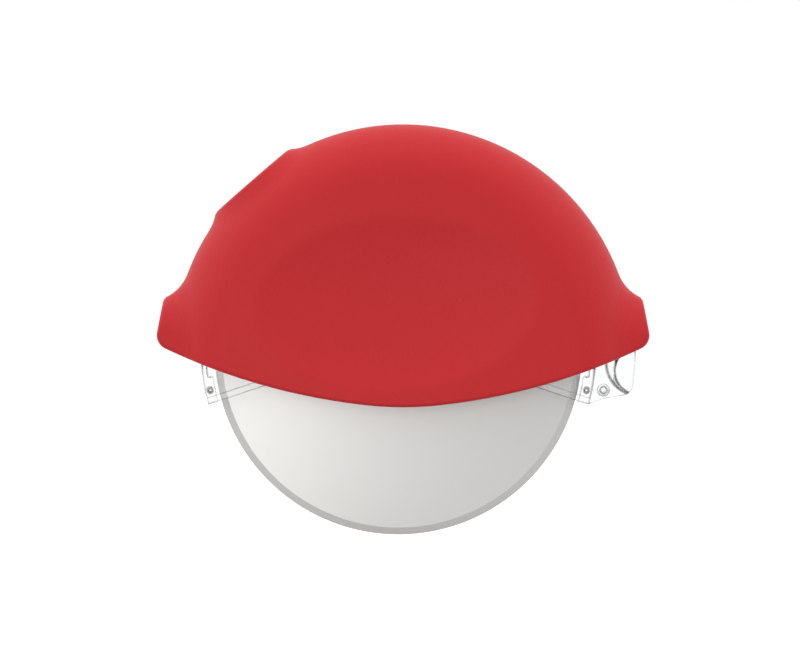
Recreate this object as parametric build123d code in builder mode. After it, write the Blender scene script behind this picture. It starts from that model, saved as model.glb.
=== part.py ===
"""Palm-held pizza cutter wheel with a swinging clear guard, in millimetres.

X runs right as seen from the front, Y away from the viewer and Z up. The origin lies in the
blade's middle plane, below the middle of the handle, level with the blade's lowest point.
Each half of the handle and of the guard is made for the front, and the back one is its
mirror image with its own side of the joint between them.
"""

import os
from math import cos, radians, sin, sqrt

from build123d import *

# Blade, a steel disc ground to an edge from both faces
blade_diameter = 100.0
blade_thickness = 1.2
blade_edge_thickness = 0.2
blade_bevel_width = 1.9

# Hub, two flanges clamped through the blade by pins
hub_radius = 13.0
hub_flange = 1.3
hub_spigot_radius = 5.5
hub_spigot_reach = 0.7
hub_pin_radius = 1.1
hub_pin_count = 3
hub_edge_round = 0.4

# Axle pin, held in the bosses of both shells
axle_radius = 2.5
axle_grip = 7.0
axle_end_chamfer = 0.3
axle_shift = -1.3

# Handle, two moulded shells parted in the blade's middle plane
handle_room = 6.6
dome_drop = 1.0
handle_thickness = 30.0
handle_wall = 2.4
skirt_depth = 15.25
skirt_mid_radius = 92.0
skirt_mid_half_width = 10.0
skirt_side_radius = 172.0
skirt_corner = 4.0
handle_edge_break = 0.6

# Mouths of the handle: two wings for the guard's tab and a thumb window
flare_radius = 11.5
mouth_depth = 32.7
mouth_overshoot = 18.2
wing_angle = 10.0
wing_step = 4.1
wing_roof = 2.07
wing_drop = 36.0
wing_width_share = 0.63
wing_corner = 9.0
window_angle = 131.0
window_step = -0.1
window_half_length = 9.45
window_width_share = 0.58
window_corner = 8.0

# Shallow thumb scoop in each cheek, a little higher at its right end
scoop_shift = -1.8
scoop_height = 12.9
scoop_tilt = 4.2
scoop_half_length = 38.6
scoop_half_height = 24.0
scoop_depth = 3.6
scoop_edge_round = 6.0

# Bosses, gussets and screws inside the handle
journal_radius = 6.0
boss_radius = 9.5
boss_ring = 1.9
boss_floor = 3.4
gusset_count = 6
gusset_reach = 9.0
gusset_thickness = 1.4
gusset_setback = 2.0
post_inset = 4.6
post_angles = (33.0, 62.0, 97.0, 156.0)
post_neck_radius = 2.4
post_radius = 3.5
post_neck_length = 5.6
tongue_angles = ((25.0, 110.0), (149.0, 158.0))
tongue_width = 0.9
tongue_height = 1.0
groove_run_out = 0.5
screw_radius = 1.1
screw_length = 13.0
screw_head_radius = 2.0
screw_head_height = 1.5
screw_head_chamfer = 0.5
screw_seat_wall = 0.7

# Guard, a clear channel in two halves with a tab at its right end
guard_gap = 2.2
guard_rim = 1.5
guard_half_channel = 2.4
guard_wall = 1.5
guard_end_angle = -15.8
guard_plate_peak = 2.5
guard_lug_width = 4.5
guard_rib_width = 1.9
guard_rib_height = 1.0
guard_block_angle = 8.0
guard_block_gap = 0.9
snap_radius = 0.7
snap_length = 1.4

# Tab of the guard: two webs with a scooped thumb pad across them
tab_reach = 10.8
tab_top_angle = 4.6
tab_bottom_angle = -10.9
tab_corner = 3.5
tab_heel_sag = 0.7
pad_back_radius = 8.6
pad_back_shift = 0.6
pad_back_z = -3.5
pad_scoop_radius = 6.4
pad_scoop_shift = 0.8
pad_scoop_z = -5.4
pad_inset = 2.0
pad_half_width = 6.5
bump_radius = 1.1
bump_height = 0.5
bump_step = 3.1
bump_angle = -10.8
bump_post_radius = 1.6

# Washers between the guard and the shells
washer_thickness = 0.5

# Fits
running_fit = 0.05
seam_gap = 0.02
press_fit = 0.02
side_play = 0.15
thrust_play = 0.05
overrun = 1.0

# Least lean, in degrees, from the mouth's way and from the depth's way that tells a seam and a rim
seam_lean = 30.0
rim_lean = 5.0

# Places and sizes that follow
blade_radius = blade_diameter / 2
blade_half = blade_thickness / 2
axle_z = blade_radius
hub_pin_circle = (hub_spigot_radius + hub_radius) / 2
guard_inner_radius = blade_radius + guard_gap
guard_radius = guard_inner_radius + guard_rim
dome_radius = guard_radius + handle_room + handle_wall
dome_z = axle_z - dome_drop
half_thickness = handle_thickness / 2
land_radius = dome_radius - half_thickness
scoop_z = axle_z + scoop_height
scoop_across = scoop_half_length**2 / (2 * scoop_depth)
scoop_round = scoop_half_height**2 / (2 * scoop_depth)
mouth_root = dome_radius - mouth_depth
wing_half_width = half_thickness * wing_width_share
window_half_width = half_thickness * window_width_share
wing_reach = dome_radius + wing_step
window_reach = dome_radius + window_step
mouth_length = wing_reach + mouth_overshoot - mouth_root
post_circle = dome_radius - post_inset
tab_radius = guard_radius + tab_reach
bump_circle = guard_radius + bump_step
cheek_y = half_thickness - handle_wall
hub_face = blade_half + hub_flange
nose_y = hub_face + side_play
guard_face = guard_half_channel + guard_wall
washer_inner_y = guard_face + thrust_play
shoulder_y = washer_inner_y + washer_thickness + thrust_play
seat_y = post_neck_length + screw_seat_wall
tongue_radius = dome_radius - handle_wall / 2
axle_axis = Axis((axle_shift, 0, axle_z), (0, 1, 0))
axle_section = Plane(origin=(axle_shift, 0, axle_z), x_dir=(1, 0, 0), z_dir=(0, 0, 1))
dome_axis = Axis((0, 0, dome_z), (0, 1, 0))


def front_plane(depth, x=axle_shift, z=axle_z):
    """Plane at this depth in front of the blade, seen from the front, facing the viewer."""
    return Plane(origin=(x, -depth, z), x_dir=(1, 0, 0), z_dir=(0, -1, 0))


def polar(radius, angle):
    """Point at this radius and angle in a front view."""
    return (radius * cos(radians(angle)), radius * sin(radians(angle)))


def meet(angle_a, reach_a, angle_b, reach_b):
    """Where two lines meet, each square to its angle and at its reach from the centre."""
    turn = sin(radians(angle_b - angle_a))
    x = (reach_a * sin(radians(angle_b)) - reach_b * sin(radians(angle_a))) / turn
    y = (reach_b * cos(radians(angle_a)) - reach_a * cos(radians(angle_b))) / turn
    return (x, y)


def ring_sector(inner, outer, start, end):
    """Flat ring sector about the local origin."""
    with BuildSketch() as sector:
        with BuildLine():
            CenterArc((0, 0), outer, start, end - start)
            Line(polar(outer, end), polar(inner, end))
            CenterArc((0, 0), inner, end, start - end)
            Line(polar(inner, start), polar(outer, start))
        make_face()
    return sector.sketch


def mouths(inset):
    """Angle, section centre, length, width and corner of each mouth, drawn in by the inset."""
    wing_length = wing_roof + wing_drop - 2 * inset
    wing_width = 2 * (wing_half_width - inset)
    wing_middle = (wing_roof - wing_drop) / 2
    window_length = 2 * (window_half_length - inset)
    window_width = 2 * (window_half_width - inset)
    return (
        (wing_angle, wing_middle, wing_length, wing_width, wing_corner - inset),
        (180 - wing_angle, -wing_middle, wing_length, wing_width, wing_corner - inset),
        (window_angle, 0, window_length, window_width, window_corner - inset),
    )


def handle_form(inset):
    """Round-rimmed dome with three flared mouths that run on past their ends."""
    tube = half_thickness - inset
    with BuildPart() as form:
        with BuildSketch(Plane.YZ):
            with BuildLine():
                Line((tube, dome_z), (-tube, dome_z))
                Line((-tube, dome_z), (-tube, dome_z - land_radius))
                RadiusArc((-tube, dome_z - land_radius), (tube, dome_z - land_radius), -tube)
                Line((tube, dome_z - land_radius), (tube, dome_z))
            make_face()
        revolve(axis=dome_axis)
        for angle, middle, length, width, corner in mouths(inset):
            root_x, root_z = polar(mouth_root, angle)
            side_x, side_z = polar(1, angle + 90)
            way_x, way_z = polar(1, angle)
            section_plane = Plane(
                origin=(root_x, 0, dome_z + root_z), x_dir=(side_x, 0, side_z), z_dir=(way_x, 0, way_z)
            )
            with BuildSketch(section_plane):
                with Locations((middle, 0)):
                    RectangleRounded(length, width, corner)
            extrude(amount=mouth_length)
            # The new edges that don't run along the mouth are where it leaves the dome
            seams = [
                edge
                for edge in form.edges(Select.NEW)
                if abs((edge % 0.5).dot(section_plane.z_dir)) < cos(radians(seam_lean))
                and 0 < section_plane.to_local_coords(edge @ 0.5).Z < mouth_length - overrun
            ]
            fillet(seams, flare_radius)
    return form.part


def scoop_barrel(inset):
    """Tilted barrel that lies across the front cheek, its belly this much deeper than the scoop."""
    barrel_y = scoop_depth - half_thickness - scoop_round
    belly_radius = scoop_across + inset
    belly_y = barrel_y + scoop_round + inset
    end_y = belly_y - belly_radius + sqrt(belly_radius**2 - dome_radius**2)
    with BuildPart() as barrel:
        with BuildSketch(Plane.XY.offset(scoop_z)):
            with BuildLine():
                ThreePointArc((-dome_radius, end_y), (0, belly_y), (dome_radius, end_y))
                Polyline(
                    (dome_radius, end_y),
                    (dome_radius, barrel_y),
                    (-dome_radius, barrel_y),
                    (-dome_radius, end_y),
                )
            make_face()
        revolve(axis=Axis((0, barrel_y, scoop_z), (1, 0, 0)))
    return Pos(X=scoop_shift) * barrel.part.rotate(Axis((0, 0, scoop_z), (0, -1, 0)), scoop_tilt)


def side_arc_centre():
    """Centre of the skirt's right-hand arc, which is tangent to the middle one."""
    lean = skirt_mid_half_width / skirt_mid_radius
    upright = sqrt(1 - lean * lean)
    middle_z = axle_z - skirt_depth + skirt_mid_radius
    radius_change = skirt_side_radius - skirt_mid_radius
    return (-radius_change * lean, middle_z + radius_change * upright)


def handle_outline():
    """Front outline that trims the form at the skirt and at the ends of the mouths."""
    centre_x, centre_z = side_arc_centre()
    way_x, way_z = polar(1, wing_angle)
    off_line = wing_reach - centre_x * way_x - (centre_z - dome_z) * way_z
    along = sqrt(skirt_side_radius**2 - off_line**2)
    corner_x = centre_x + off_line * way_x + along * way_z
    corner_z = centre_z + off_line * way_z - along * way_x
    top = dome_radius + overrun
    right_top = meet(wing_angle, wing_reach, 90, top)
    window_top = meet(90, top, window_angle, window_reach)
    window_low = meet(window_angle, window_reach, 180 - wing_angle, wing_reach)
    skirt_z = axle_z - skirt_depth
    join_z = skirt_z + skirt_mid_radius - sqrt(skirt_mid_radius**2 - skirt_mid_half_width**2)
    with BuildSketch(Plane.XZ) as outline:
        with BuildLine():
            RadiusArc((-skirt_mid_half_width, join_z), (skirt_mid_half_width, join_z), -skirt_mid_radius)
            RadiusArc((skirt_mid_half_width, join_z), (corner_x, corner_z), -skirt_side_radius)
            Polyline(
                (corner_x, corner_z),
                (right_top[0], dome_z + right_top[1]),
                (window_top[0], dome_z + window_top[1]),
                (window_low[0], dome_z + window_low[1]),
                (-corner_x, corner_z),
            )
            RadiusArc((-corner_x, corner_z), (-skirt_mid_half_width, join_z), -skirt_side_radius)
        make_face()
        fillet(outline.vertices().sort_by_distance((corner_x, 0, corner_z))[0], skirt_corner)
        fillet(outline.vertices().sort_by_distance((-corner_x, 0, corner_z))[0], skirt_corner)
    return outline.sketch


def boss_profile():
    """Half section of the axle boss: radius from the axle, depth in front of the blade."""
    with BuildSketch(axle_section) as profile:
        with BuildLine():
            Polyline(
                (axle_radius + press_fit, -nose_y),
                (journal_radius, -nose_y),
                (journal_radius, -cheek_y + boss_floor),
                (boss_radius - boss_ring, -cheek_y + boss_floor),
                (boss_radius - boss_ring, -shoulder_y),
                (boss_radius, -shoulder_y),
                (boss_radius, -cheek_y - press_fit),
                (0, -cheek_y - press_fit),
                (0, -nose_y - axle_grip - side_play),
                (axle_radius + press_fit, -nose_y - axle_grip - side_play),
                close=True,
            )
        make_face()
    return profile.sketch


os.makedirs("parts", exist_ok=True)

# Solid outer shape of the handle, cut at the skirt and at its mouths
with BuildPart() as handle_blank:
    add(handle_form(0))
    extrude(handle_outline(), amount=half_thickness + overrun, both=True, mode=Mode.INTERSECT)
    rims = [edge for edge in handle_blank.edges(Select.NEW) if abs((edge % 0.5).Y) < cos(radians(rim_lean))]
    chamfer(rims, handle_edge_break)
    add(scoop_barrel(0), mode=Mode.SUBTRACT)
    # Of all the edges only the scoop's closes on itself
    fillet([edge for edge in handle_blank.edges() if edge.is_closed], scoop_edge_round)

# What stands inside the front half: axle boss, gussets and screw posts
with BuildPart() as front_inside:
    add(revolve(boss_profile(), axis=axle_axis, mode=Mode.PRIVATE))
    for turn in range(gusset_count):
        lean = radians(360 * (turn + 1 / 2) / gusset_count)
        gusset_plane = Plane(
            origin=(axle_shift, 0, axle_z),
            x_dir=(cos(lean), 0, sin(lean)),
            z_dir=(sin(lean), 0, -cos(lean)),
        )
        # Local x runs out from the axle, local y towards the viewer's side of the blade
        with BuildSketch(gusset_plane):
            with BuildLine():
                Polyline(
                    (boss_radius - boss_ring / 2, shoulder_y + gusset_setback),
                    (boss_radius + gusset_thickness, shoulder_y + gusset_setback),
                    (boss_radius + gusset_reach, cheek_y + press_fit),
                    (boss_radius - boss_ring / 2, cheek_y + press_fit),
                    close=True,
                )
            make_face()
        extrude(amount=gusset_thickness / 2, both=True)
    with BuildSketch(front_plane(0, 0, dome_z)):
        with Locations(*[polar(post_circle, angle) for angle in post_angles]):
            Circle(post_neck_radius)
    extrude(amount=half_thickness)
    with BuildSketch(front_plane(post_neck_length, 0, dome_z)):
        with Locations(*[polar(post_circle, angle) for angle in post_angles]):
            Circle(post_radius)
    extrude(amount=half_thickness)
    add(handle_blank.part, mode=Mode.INTERSECT)

# Front half that both shells share, before their joint and screw holes
with BuildPart() as front_half:
    add(handle_blank.part)
    add(handle_form(handle_wall) - scoop_barrel(handle_wall), mode=Mode.SUBTRACT)
    split(bisect_by=Plane.XZ, keep=Keep.TOP)
    add(front_inside.part)
    with BuildSketch(front_plane(0)):
        Circle(axle_radius + press_fit)
    extrude(amount=nose_y + axle_grip + side_play, mode=Mode.SUBTRACT)

post_places = [polar(post_circle, angle) for angle in post_angles]

# Front shell: pilot holes for the screws, and a tongue along the rim of the joint
with BuildPart() as handle_front_shell:
    add(front_half.part)
    with BuildSketch(front_plane(0, 0, dome_z)):
        with Locations(*post_places):
            Circle(screw_radius + press_fit)
    extrude(amount=screw_length - seat_y + side_play, mode=Mode.SUBTRACT)
    for start, end in tongue_angles:
        tongue = ring_sector(tongue_radius - tongue_width / 2, tongue_radius + tongue_width / 2, start, end)
        with BuildSketch(front_plane(0, 0, dome_z)):
            add(tongue)
        extrude(amount=-tongue_height)
handle_front_shell.part.label = "handle_front_shell"
export_step(handle_front_shell.part, "parts/handle_front_shell.step")

# Back shell: the groove for the tongue, and screw holes sunk in from the back
with BuildPart() as handle_back_shell:
    add(mirror(front_half.part, about=Plane.XZ, mode=Mode.PRIVATE))
    with BuildSketch(front_plane(0, 0, dome_z)):
        with Locations(*post_places):
            Circle(screw_radius + running_fit)
    extrude(amount=-seat_y, mode=Mode.SUBTRACT)
    with BuildSketch(front_plane(-seat_y, 0, dome_z)):
        with Locations(*post_places):
            Circle(screw_head_radius + side_play)
    extrude(amount=-half_thickness, mode=Mode.SUBTRACT)
    for start, end in tongue_angles:
        inner = tongue_radius - tongue_width / 2 - running_fit
        outer = tongue_radius + tongue_width / 2 + running_fit
        margin = groove_run_out
        with BuildSketch(front_plane(0, 0, dome_z)):
            add(ring_sector(inner, outer, start - margin, end + margin))
        extrude(amount=-tongue_height - running_fit, mode=Mode.SUBTRACT)
handle_back_shell.part.label = "handle_back_shell"
export_step(handle_back_shell.part, "parts/handle_back_shell.step")

# Screws, driven from the back through one shell into the other
with BuildPart() as handle_screws:
    with BuildSketch(front_plane(-seat_y, 0, dome_z)):
        with Locations(*post_places):
            Circle(screw_radius)
    extrude(amount=screw_length)
    with BuildSketch(front_plane(-seat_y, 0, dome_z)):
        with Locations(*post_places):
            Circle(screw_head_radius)
    extrude(amount=-screw_head_height)
    chamfer(handle_screws.faces().group_by(Axis.Y)[-1].edges(), screw_head_chamfer)
handle_screws.part.label = "handle_screws"
export_step(handle_screws.part, "parts/handle_screws.step")

# Axle pin with broken ends
with BuildPart() as axle_pin:
    with BuildSketch(front_plane(-nose_y - axle_grip)):
        Circle(axle_radius)
    extrude(amount=2 * (nose_y + axle_grip))
    chamfer(axle_pin.edges(), axle_end_chamfer)
axle_pin.part.label = "axle_pin"
export_step(axle_pin.part, "parts/axle_pin.step")

# Blade: bevelled to its edge on both faces, bored for the hub's spigot and pins
with BuildPart() as blade:
    with BuildSketch(axle_section):
        with BuildLine():
            Polyline(
                (hub_spigot_radius + press_fit, -blade_half),
                (blade_radius - blade_bevel_width, -blade_half),
                (blade_radius, -blade_edge_thickness / 2),
                (blade_radius, blade_edge_thickness / 2),
                (blade_radius - blade_bevel_width, blade_half),
                (hub_spigot_radius + press_fit, blade_half),
                close=True,
            )
        make_face()
    revolve(axis=axle_axis)
    with BuildSketch(front_plane(blade_half)):
        with PolarLocations(hub_pin_circle, hub_pin_count, start_angle=90):
            Circle(hub_pin_radius + press_fit)
    extrude(amount=-blade_thickness, mode=Mode.SUBTRACT)
blade.part.label = "blade"
export_step(blade.part, "parts/blade.step")

# Front hub flange, with the spigot that centres the blade and the pins that drive it
with BuildPart() as blade_hub_front:
    with BuildSketch(front_plane(blade_half)):
        Circle(hub_radius)
    extrude(amount=hub_flange)
    fillet(blade_hub_front.faces().sort_by(Axis.Y)[0].edges(), hub_edge_round)
    with BuildSketch(front_plane(blade_half)):
        Circle(hub_spigot_radius)
    extrude(amount=-blade_thickness - hub_spigot_reach)
    with BuildSketch(front_plane(blade_half)):
        with PolarLocations(hub_pin_circle, hub_pin_count, start_angle=90):
            Circle(hub_pin_radius)
    extrude(amount=-blade_thickness - hub_flange)
    with BuildSketch(front_plane(hub_face)):
        Circle(axle_radius + running_fit)
    extrude(amount=-2 * hub_face, mode=Mode.SUBTRACT)
blade_hub_front.part.label = "blade_hub_front"
export_step(blade_hub_front.part, "parts/blade_hub_front.step")

# Back hub flange, recessed for the spigot and drilled for the pins
with BuildPart() as blade_hub_back:
    with BuildSketch(front_plane(-blade_half)):
        Circle(hub_radius)
    extrude(amount=-hub_flange)
    fillet(blade_hub_back.faces().sort_by(Axis.Y)[-1].edges(), hub_edge_round)
    with BuildSketch(front_plane(-blade_half)):
        Circle(hub_spigot_radius + press_fit)
    extrude(amount=-hub_spigot_reach - press_fit, mode=Mode.SUBTRACT)
    with BuildSketch(front_plane(-blade_half)):
        with PolarLocations(hub_pin_circle, hub_pin_count, start_angle=90):
            Circle(hub_pin_radius + press_fit)
        Circle(axle_radius + running_fit)
    extrude(amount=-hub_flange, mode=Mode.SUBTRACT)
blade_hub_back.part.label = "blade_hub_back"
export_step(blade_hub_back.part, "parts/blade_hub_back.step")

# Thrust washers that take up the play between the guard and the shells
for side, name in ((1, "guard_washer_front"), (-1, "guard_washer_back")):
    with BuildPart() as washer:
        with BuildSketch(front_plane(side * washer_inner_y)):
            Circle(boss_radius)
            Circle(journal_radius + running_fit, mode=Mode.SUBTRACT)
        extrude(amount=side * washer_thickness)
    washer.part.label = name
    export_step(washer.part, f"parts/{name}.step")

# Guard half: lugged side plate, edge ribs, rim wall, end blocks and its half of the tab
end_x, end_z = polar(guard_radius, guard_end_angle)
edge_fall = (guard_plate_peak - end_z) / end_x
far = guard_radius + overrun
lug_radius = journal_radius + guard_lug_width
block_angles = (guard_end_angle + guard_block_angle / 2, 180 - guard_end_angle - guard_block_angle / 2)
block_radius = (blade_radius + guard_block_gap + guard_radius) / 2
with BuildPart() as guard_half:
    with BuildSketch(front_plane(guard_half_channel)):
        Circle(guard_radius)
        with BuildLine():
            Polyline(
                (-far, guard_plate_peak - edge_fall * far),
                (0, guard_plate_peak),
                (far, guard_plate_peak - edge_fall * far),
                (far, -far),
                (-far, -far),
                close=True,
            )
        make_face(mode=Mode.SUBTRACT)
        Circle(lug_radius)
        Circle(journal_radius + running_fit, mode=Mode.SUBTRACT)
    extrude(amount=guard_wall)
    # Ribs on the two lower edges of the plate, from the lug out to the rim
    with BuildSketch(front_plane(guard_half_channel)):
        for way in (1, -1):
            with BuildLine():
                Polyline(
                    (0, guard_plate_peak),
                    (way * far, guard_plate_peak - edge_fall * far),
                    (way * far, guard_plate_peak - edge_fall * far + guard_rib_width),
                    (0, guard_plate_peak + guard_rib_width),
                    close=True,
                )
            make_face()
        Circle(guard_radius, mode=Mode.INTERSECT)
        Circle(lug_radius, mode=Mode.SUBTRACT)
    extrude(amount=guard_wall + guard_rib_height)
    # Rim wall that runs round the blade's edge, thicker where the halves snap together
    with BuildSketch(front_plane(seam_gap / 2)):
        add(ring_sector(guard_inner_radius, guard_radius, guard_end_angle, 180 - guard_end_angle))
        for middle in block_angles:
            start, end = middle - guard_block_angle / 2, middle + guard_block_angle / 2
            add(ring_sector(blade_radius + guard_block_gap, guard_radius, start, end))
    extrude(amount=guard_half_channel + guard_wall / 2)
    # Web of the tab, in the plane of the plate
    with BuildSketch(front_plane(guard_half_channel)) as web:
        with BuildLine():
            top_out = polar(tab_radius, tab_top_angle)
            low_out = polar(tab_radius, tab_bottom_angle)
            Line(polar(guard_inner_radius, tab_top_angle), top_out)
            RadiusArc(top_out, low_out, tab_radius)
            SagittaArc(low_out, (end_x, end_z), -tab_heel_sag)
            RadiusArc((end_x, end_z), polar(guard_inner_radius, tab_top_angle), -guard_radius)
        make_face()
        fillet(web.vertices().sort_by(Axis.X)[-2:], tab_corner)
    extrude(amount=guard_wall)
    # Thumb pad: a crescent between two circles, wider than the channel
    with BuildSketch(front_plane(seam_gap / 2)):
        with Locations((tab_radius + pad_back_shift, pad_back_z)):
            Circle(pad_back_radius)
        with Locations((tab_radius + pad_scoop_shift, pad_scoop_z)):
            Circle(pad_scoop_radius, mode=Mode.SUBTRACT)
        pad_size = 2 * pad_back_radius
        with Locations((tab_radius - pad_inset, pad_back_z)):
            Rectangle(pad_size, pad_size, align=(Align.MAX, Align.CENTER), mode=Mode.INTERSECT)
    extrude(amount=pad_half_width)
    # Post behind the bump, where the two halves of the tab meet
    with BuildSketch(front_plane(seam_gap / 2)):
        with Locations(polar(bump_circle, bump_angle)):
            Circle(bump_post_radius)
    extrude(amount=guard_half_channel + guard_wall / 2)
snap_places = [polar(block_radius, middle) for middle in block_angles] + [polar(bump_circle, bump_angle)]

# Front guard half, with the snap pins and the bump that clicks against the handle
with BuildPart() as guard_front_half:
    add(guard_half.part)
    with BuildSketch(front_plane(seam_gap / 2)):
        with Locations(*snap_places):
            Circle(snap_radius)
    extrude(amount=-snap_length)
    with BuildSketch(front_plane(guard_face)):
        with Locations(polar(bump_circle, bump_angle)):
            Circle(bump_radius)
    extrude(amount=bump_height)
guard_front_half.part.label = "guard_front_half"
export_step(guard_front_half.part, "parts/guard_front_half.step")

# Back guard half, with the sockets for the snap pins
with BuildPart() as guard_back_half:
    add(mirror(guard_half.part, about=Plane.XZ, mode=Mode.PRIVATE))
    with BuildSketch(front_plane(seam_gap / 2)):
        with Locations(*snap_places):
            Circle(snap_radius + press_fit)
    extrude(amount=-snap_length - running_fit, mode=Mode.SUBTRACT)
guard_back_half.part.label = "guard_back_half"
export_step(guard_back_half.part, "parts/guard_back_half.step")
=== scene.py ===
import math

import bpy
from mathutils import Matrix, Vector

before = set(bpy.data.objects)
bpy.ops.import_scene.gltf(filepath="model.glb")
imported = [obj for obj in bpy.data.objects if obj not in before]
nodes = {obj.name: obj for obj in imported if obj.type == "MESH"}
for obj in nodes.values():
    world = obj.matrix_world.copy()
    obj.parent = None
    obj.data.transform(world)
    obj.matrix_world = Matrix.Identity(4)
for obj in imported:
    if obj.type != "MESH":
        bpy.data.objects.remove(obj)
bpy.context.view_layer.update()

# Camera: the photograph's width and scale in the blade's plane, and the point at its centre
image_width = 800
mm_per_pixel = 0.2723
mm_per_metre = 1000
centre_x = -0.00084
centre_z = 0.05596
camera_distance = 2.5
sensor_width = 36.0
nearest_seen = 0.1
farthest_seen = 50.0

# The axle, about which the steel is ground, and a scale that keeps squared radii in range
axle = (-0.0013, 0, 0.05)
radius_scale = 10.0

# Steel, distances from the axle: where the blade's ground bevel starts, and a start past
# every piece for steel that has none
bevel_start = 0.0481
no_bevel = 1.0
bevel_softness = 0.00005

# Heights between which the handle's edges grow from sharp to soft, up from the skirt
skirt_top = 0.06
dome_start = 0.085
skirt_edge_radius = 0.0008
dome_edge_radius = 0.0045

# Guard, distances from the axle: the ring that the pins stand in, the tab and the pad on it
pin_ring_inner = 0.0514
pin_ring_outer = 0.0532
tab_start = 0.0541
pad_start = 0.0589
zone_softness = 0.0001

# Guard, distances from its middle plane: where the seam's zone fades, and where the forms that
# stand proud of its walls start
seam_fades = (0.0016, 0.0019)
proud_starts = (0.00395, 0.0041)

# Guard, thickness: the share of the seam away from the pins and of the ribs, against 1 on pins,
# pad and bump
seam_share = 0.4
rib_share = 0.2

# Guard, the rounding of its edges and the strokes of painted shade along them: their widths on thin
# and thick forms, and how much broader they are on the pad, whose share falls off between two heights
faint_stroke = 0.0005
strong_stroke = 0.0011
pad_stroke_scale = 2.5
pad_thins = (0.0385, 0.0425)
pad_top_share = 0.5

# Guard, painted shade: the cosines of the rounded normal's turn at which an edge is fully shaded and
# not shaded at all, the share of it on thin forms, and how much painted shade a wall gets where it is
# edge-on
edge_turn = (0.9, 0.995)
thin_edge_shade = 0.5
edge_on_range = (0.8, 1.0)
edge_on_shade = 0.6

# The floor clears the guard's rim when it is closed round the blade
floor_level = -0.0055
floor_half = 6.0
floor_grey = (0.5, 0.5, 0.5, 1)
floor_glow = 0.6

# Light: the tent's level, how far it leans left and up, and how much stronger it is at the sides
tent_level = 1.1
tent_lean = (-0.12, 0.0, 0.44)
tent_swell = (0.64, -0.39, 0.0)

# Most of a noise's values lie between these
noise_range = (0.3, 0.7)
unit_range = (0.0, 1.0)
white = (1, 1, 1, 1)


def link(tree, from_socket, to_socket):
    tree.links.new(from_socket, to_socket)


def new_material(name):
    """Empty node material with its output node."""
    material = bpy.data.materials.new(name)
    material.use_nodes = True
    tree = material.node_tree
    tree.nodes.clear()
    output = tree.nodes.new("ShaderNodeOutputMaterial")
    return material, tree, output


def add_node(tree, kind, inputs=None, **settings):
    node = tree.nodes.new(kind)
    for key, value in settings.items():
        setattr(node, key, value)
    for key, value in (inputs or {}).items():
        node.inputs[key].default_value = value
    return node


def feed(tree, node, operands):
    """Gives a node's inputs, in order, the sockets or the plain values named."""
    for slot, operand in zip(node.inputs, operands):
        if isinstance(operand, bpy.types.NodeSocket):
            link(tree, operand, slot)
        else:
            slot.default_value = operand


def maths(tree, operation, *operands):
    node = add_node(tree, "ShaderNodeMath", operation=operation)
    feed(tree, node, operands)
    return node.outputs[0]


def vector_maths(tree, operation, *operands):
    node = add_node(tree, "ShaderNodeVectorMath", operation=operation)
    feed(tree, node, operands)
    return node.outputs["Value" if operation in ("DOT_PRODUCT", "LENGTH") else "Vector"]


def noise(tree, vector, scale, detail, roughness=0.5):
    node = add_node(
        tree,
        "ShaderNodeTexNoise",
        {"Scale": scale, "Detail": detail, "Roughness": roughness},
    )
    link(tree, vector, node.inputs["Vector"])
    return node.outputs["Fac"]


def ramp(tree, factor, span, values):
    """Maps the factor from the span to the values, clamped."""
    node = add_node(
        tree,
        "ShaderNodeMapRange",
        {"From Min": span[0], "From Max": span[1], "To Min": values[0], "To Max": values[1]},
    )
    link(tree, factor, node.inputs["Value"])
    return node.outputs["Result"]


def step(tree, factor, place, values, softness=zone_softness):
    """Changes from the first value to the second at a place."""
    return ramp(tree, factor, (place - softness, place + softness), values)


def mix_colour(tree, factor, first, second, first_from=None):
    node = add_node(tree, "ShaderNodeMix", data_type="RGBA")
    colour_inputs = [s for s in node.inputs if s.type == "RGBA"]
    colour_inputs[0].default_value = (*first, 1)
    colour_inputs[1].default_value = (*second, 1)
    if first_from:
        link(tree, first_from, colour_inputs[0])
    link(tree, factor, node.inputs["Factor"])
    return [s for s in node.outputs if s.type == "RGBA"][0]


def shade(colour, share):
    return tuple(share * c for c in colour)


def object_place(tree):
    return add_node(tree, "ShaderNodeTexCoord").outputs["Object"]


def split_axes(tree, place):
    axes = add_node(tree, "ShaderNodeSeparateXYZ")
    link(tree, place, axes.inputs[0])
    return axes.outputs


def distance_from_axle(tree, place):
    """Distance of a point in the blade's plane from the axle."""
    shift = vector_maths(tree, "SUBTRACT", place, axle)
    flat = vector_maths(tree, "MULTIPLY", shift, (1, 0, 1))
    return vector_maths(tree, "LENGTH", flat)


def bump(tree, height, distance, strength, normal=None):
    node = add_node(tree, "ShaderNodeBump", {"Strength": strength, "Distance": distance})
    link(tree, height, node.inputs["Height"])
    if normal:
        link(tree, normal, node.inputs["Normal"])
    return node.outputs["Normal"]


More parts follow.
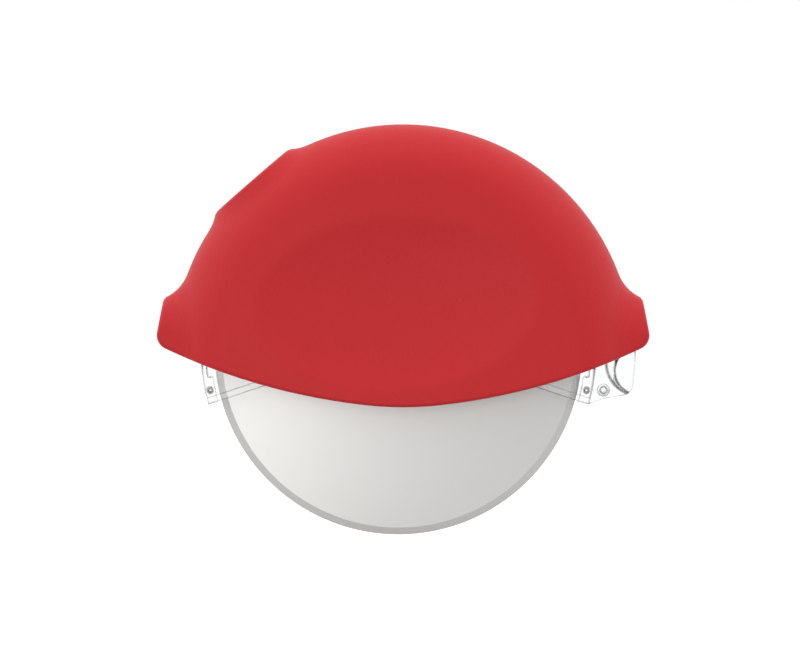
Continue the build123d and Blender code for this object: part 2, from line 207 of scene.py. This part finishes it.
def red_plastic():
    """Fine-grained satin moulding with softened edges."""
    material, tree, output = new_material("handle_red_grained")
    shader = add_node(tree, "ShaderNodeBsdfPrincipled", {"IOR": 1.46, "Specular IOR Level": 0.3})
    place = object_place(tree)
    cells = add_node(tree, "ShaderNodeTexVoronoi", {"Scale": 1500.0}, feature="SMOOTH_F1")
    link(tree, place, cells.inputs["Vector"])
    broad = noise(tree, place, scale=45.0, detail=3.0)
    fine = noise(tree, place, scale=2600.0, detail=3.0, roughness=0.6)
    colour = mix_colour(tree, broad, (0.48, 0.0105, 0.0145), (0.505, 0.0125, 0.0165))
    link(tree, colour, shader.inputs["Base Color"])
    link(tree, ramp(tree, fine, noise_range, (0.46, 0.58)), shader.inputs["Roughness"])
    edge = add_node(tree, "ShaderNodeBevel", samples=8)
    height = split_axes(tree, place)["Z"]
    edge_radius = ramp(tree, height, (skirt_top, dome_start), (skirt_edge_radius, dome_edge_radius))
    link(tree, edge_radius, edge.inputs["Radius"])
    softened = edge.outputs["Normal"]
    grain = bump(tree, cells.outputs["Distance"], distance=0.00006, strength=0.7, normal=softened)
    fine_grain = bump(tree, fine, distance=0.00003, strength=0.7, normal=grain)
    link(tree, fine_grain, shader.inputs["Normal"])
    link(tree, shader.outputs["BSDF"], output.inputs["Surface"])
    return material


def satin_steel(name, colour, roughness, ring_scale, crown=0.0, bevel_from=no_bevel):
    """Steel whose finish lines run round the axle, crowned a little, with painted shade on its ground bevel.
    """
    material, tree, output = new_material(name)
    shader = add_node(tree, "ShaderNodeBsdfPrincipled", {"Metallic": 1.0})
    place = object_place(tree)
    radius = distance_from_axle(tree, place)
    rings = add_node(tree, "ShaderNodeTexNoise", {"Scale": ring_scale, "Detail": 4.0}, noise_dimensions="1D")
    link(tree, radius, rings.inputs["W"])
    broad = noise(tree, place, scale=30.0, detail=3.0)
    on_bevel = step(tree, radius, bevel_from, unit_range, bevel_softness)
    plain = mix_colour(tree, broad, shade(colour, 0.97), colour)
    # The ground bevel is tinted darker: painted shade for the darker surroundings that its tilted faces
    # reflect
    colour_with_bevel_shade = mix_colour(tree, on_bevel, colour, shade(colour, 0.86), first_from=plain)
    link(tree, colour_with_bevel_shade, shader.inputs["Base Color"])
    link(tree, ramp(tree, rings.outputs["Fac"], noise_range, roughness), shader.inputs["Roughness"])
    scaled = maths(tree, "MULTIPLY", radius, radius_scale)
    squared = maths(tree, "MULTIPLY", scaled, scaled)
    drop = maths(tree, "MULTIPLY", squared, -crown / 2 / radius_scale ** 2)
    crowned = bump(tree, drop, distance=1.0, strength=1.0)
    lined = bump(tree, rings.outputs["Fac"], distance=0.00001, strength=0.3, normal=crowned)
    link(tree, lined, shader.inputs["Normal"])
    link(tree, shader.outputs["BSDF"], output.inputs["Surface"])
    return material


def guard_zones(tree, place):
    """How thick the guard is at a place: 0 in its flat walls, low on the ribs and at the seam
    between the halves, 1 on pins, pad and bump. Then how far the place is on the pad, 1 at the
    pad's thin end."""
    axes = split_axes(tree, place)
    depth = maths(tree, "ABSOLUTE", axes["Y"])
    reach = distance_from_axle(tree, place)
    pins = maths(
        tree,
        "MULTIPLY",
        step(tree, reach, pin_ring_inner, (seam_share, 1.0)),
        step(tree, reach, pin_ring_outer, (1.0, seam_share)),
    )
    seam = maths(tree, "MULTIPLY", ramp(tree, depth, seam_fades, (1.0, 0.0)), pins)
    on_tab = step(tree, reach, tab_start, (rib_share, 1.0))
    proud = maths(tree, "MULTIPLY", ramp(tree, depth, proud_starts, unit_range), on_tab)
    on_pad = maths(tree, "MULTIPLY", proud, step(tree, reach, pad_start, unit_range))
    thinning = ramp(tree, axes["Z"], pad_thins, (1.0, pad_top_share))
    return maths(tree, "MAXIMUM", seam, proud), maths(tree, "MULTIPLY", on_pad, thinning)


def clear_plastic():
    """Clear moulding: bright through its flat walls, with painted shade in strokes along its rounded edges.
    """
    material, tree, output = new_material("guard_clear_moulded")
    shader = add_node(tree, "ShaderNodeBsdfPrincipled", {"IOR": 1.49, "Transmission Weight": 1.0})
    place = object_place(tree)
    waves = noise(tree, place, scale=60.0, detail=1.0)
    thick, pad = guard_zones(tree, place)
    round_edge = add_node(tree, "ShaderNodeBevel", samples=6)
    stroke = maths(
        tree,
        "MULTIPLY",
        ramp(tree, thick, unit_range, (faint_stroke, strong_stroke)),
        ramp(tree, pad, unit_range, (1.0, pad_stroke_scale)),
    )
    link(tree, stroke, round_edge.inputs["Radius"])
    edge = round_edge.outputs["Normal"]
    # Where the rounded normal leaves the face's own there is an edge, and painted shade darkens it there
    face = add_node(tree, "ShaderNodeNewGeometry").outputs["Normal"]
    turn = vector_maths(tree, "DOT_PRODUCT", edge, face)
    bend = ramp(tree, turn, edge_turn, (1.0, 0.0))
    rim = maths(tree, "MULTIPLY", bend, ramp(tree, thick, unit_range, (thin_edge_shade, 1.0)))
    # Painted shade also darkens a wall that is seen edge-on
    facing = add_node(tree, "ShaderNodeLayerWeight", {"Blend": 0.5}).outputs["Facing"]
    painted_shade = maths(tree, "MAXIMUM", rim, ramp(tree, facing, edge_on_range, (0.0, edge_on_shade)))
    # Painted shade: the clear base colour turns near black along edges and on edge-on walls
    colour = mix_colour(tree, painted_shade, (0.99, 0.995, 0.995), (0.001, 0.001, 0.001))
    link(tree, colour, shader.inputs["Base Color"])
    link(tree, ramp(tree, waves, noise_range, (0.0, 0.02)), shader.inputs["Roughness"])
    link(tree, bump(tree, waves, distance=0.0001, strength=0.15, normal=edge), shader.inputs["Normal"])
    link(tree, shader.outputs["BSDF"], output.inputs["Surface"])
    return material


def white_plastic(name, colour):
    material, tree, output = new_material(name)
    shader = add_node(tree, "ShaderNodeBsdfPrincipled", {"IOR": 1.48})
    place = object_place(tree)
    fine = noise(tree, place, scale=1800.0, detail=3.0)
    broad = noise(tree, place, scale=90.0, detail=3.0)
    link(tree, mix_colour(tree, broad, shade(colour, 0.94), colour), shader.inputs["Base Color"])
    link(tree, ramp(tree, fine, noise_range, (0.4, 0.52)), shader.inputs["Roughness"])
    link(tree, bump(tree, fine, distance=0.00002, strength=0.4), shader.inputs["Normal"])
    link(tree, shader.outputs["BSDF"], output.inputs["Surface"])
    return material


red = red_plastic()
blade_steel = satin_steel(
    "blade_satin_steel",
    colour=(0.48, 0.474, 0.463),
    roughness=(0.36, 0.46),
    ring_scale=9000.0,
    crown=0.7,
    bevel_from=bevel_start,
)
pin_steel = satin_steel("turned_steel", colour=(0.62, 0.62, 0.62), roughness=(0.22, 0.34), ring_scale=7000.0)
clear = clear_plastic()
acetal = white_plastic("hub_acetal", (0.82, 0.82, 0.80))
nylon = white_plastic("washer_nylon", (0.78, 0.78, 0.75))
finishes = {
    "handle_front_shell": red,
    "handle_back_shell": red,
    "handle_screws": pin_steel,
    "axle_pin": pin_steel,
    "blade": blade_steel,
    "blade_hub_front": acetal,
    "blade_hub_back": acetal,
    "guard_washer_front": nylon,
    "guard_washer_back": nylon,
    "guard_front_half": clear,
    "guard_back_half": clear,
}
for name, material in finishes.items():
    mesh = nodes[name].data
    mesh.materials.clear()
    mesh.materials.append(material)


def background_rays(tree):
    """One for the rays that show the background: camera, glossy and transmission rays."""
    rays = add_node(tree, "ShaderNodeLightPath").outputs
    seen = rays["Is Camera Ray"]
    for kind in ("Is Glossy Ray", "Is Transmission Ray"):
        seen = maths(tree, "MAXIMUM", seen, rays[kind])
    return seen


def choose_shader(tree, factor, at_zero, at_one, output):
    """Sends one of two shaders to the output."""
    choose = add_node(tree, "ShaderNodeMixShader")
    feed(tree, choose, (factor, at_zero, at_one))
    link(tree, choose.outputs[0], output.inputs["Surface"])


def make_floor():
    """Plain floor that shows as white and keeps the object's shadow."""
    mesh = bpy.data.meshes.new("floor")
    corners = ((-1, -1), (1, -1), (1, 1), (-1, 1))
    points = [(x * floor_half, y * floor_half, floor_level) for x, y in corners]
    mesh.from_pydata(points, [], [(0, 1, 2, 3)])
    floor = bpy.data.objects.new("floor", mesh)
    bpy.context.scene.collection.objects.link(floor)
    material, tree, output = new_material("floor_white")
    diffuse = add_node(tree, "ShaderNodeBsdfDiffuse", {"Color": floor_grey}).outputs[0]
    glow = add_node(tree, "ShaderNodeEmission", {"Color": white, "Strength": floor_glow}).outputs[0]
    both = add_node(tree, "ShaderNodeAddShader")
    feed(tree, both, (diffuse, glow))
    choose_shader(tree, background_rays(tree), diffuse, both.outputs[0], output)
    mesh.materials.append(material)


def make_world():
    """Soft tent of light, brighter above, at the sides and a little on the left, seen as white."""
    world = bpy.data.worlds.new("studio")
    bpy.context.scene.world = world
    world.use_nodes = True
    tree = world.node_tree
    tree.nodes.clear()
    output = tree.nodes.new("ShaderNodeOutputWorld")
    way = add_node(tree, "ShaderNodeTexCoord").outputs["Generated"]
    lean = vector_maths(tree, "DOT_PRODUCT", way, tent_lean)
    swell = vector_maths(tree, "DOT_PRODUCT", vector_maths(tree, "MULTIPLY", way, way), tent_swell)
    both = maths(tree, "ADD", lean, swell)
    level = maths(tree, "MULTIPLY_ADD", both, tent_level, tent_level)
    tent = add_node(tree, "ShaderNodeBackground", {"Color": white})
    link(tree, level, tent.inputs["Strength"])
    backdrop = add_node(tree, "ShaderNodeBackground", {"Color": white, "Strength": 1.0})
    choose_shader(tree, background_rays(tree), tent.outputs[0], backdrop.outputs[0], output)


def area_light(name, place, aim, size, watts):
    data = bpy.data.lights.new(name, "AREA")
    data.shape = "DISK"
    data.size = size
    data.energy = watts
    light = bpy.data.objects.new(name, data)
    bpy.context.scene.collection.objects.link(light)
    light.location = place
    direction = Vector(aim) - Vector(place)
    light.rotation_euler = direction.to_track_quat("-Z", "Y").to_euler()
    return light


make_floor()
make_world()
# A weak lamp for the sheen across the blade's face: it shines through the clear guard, and is
# small and far enough to the left for its mirror image to miss the guard
lamp = area_light("lamp", place=(-0.079, -0.3, 0.022), aim=(0, 0, 0.03), size=0.012, watts=0.08)
lamp.visible_diffuse = False
lamp.data.use_shadow = False

camera_data = bpy.data.cameras.new("camera")
camera_data.type = "PERSP"
camera_data.sensor_width = sensor_width
camera_data.lens = sensor_width * camera_distance / (image_width * mm_per_pixel / mm_per_metre)
camera_data.clip_start = nearest_seen
camera_data.clip_end = farthest_seen
camera = bpy.data.objects.new("camera", camera_data)
bpy.context.scene.collection.objects.link(camera)
camera.location = (centre_x, -camera_distance, centre_z)
camera.rotation_euler = (math.pi / 2, 0, 0)
bpy.context.scene.camera = camera
bpy.context.scene.view_settings.view_transform = "Standard"
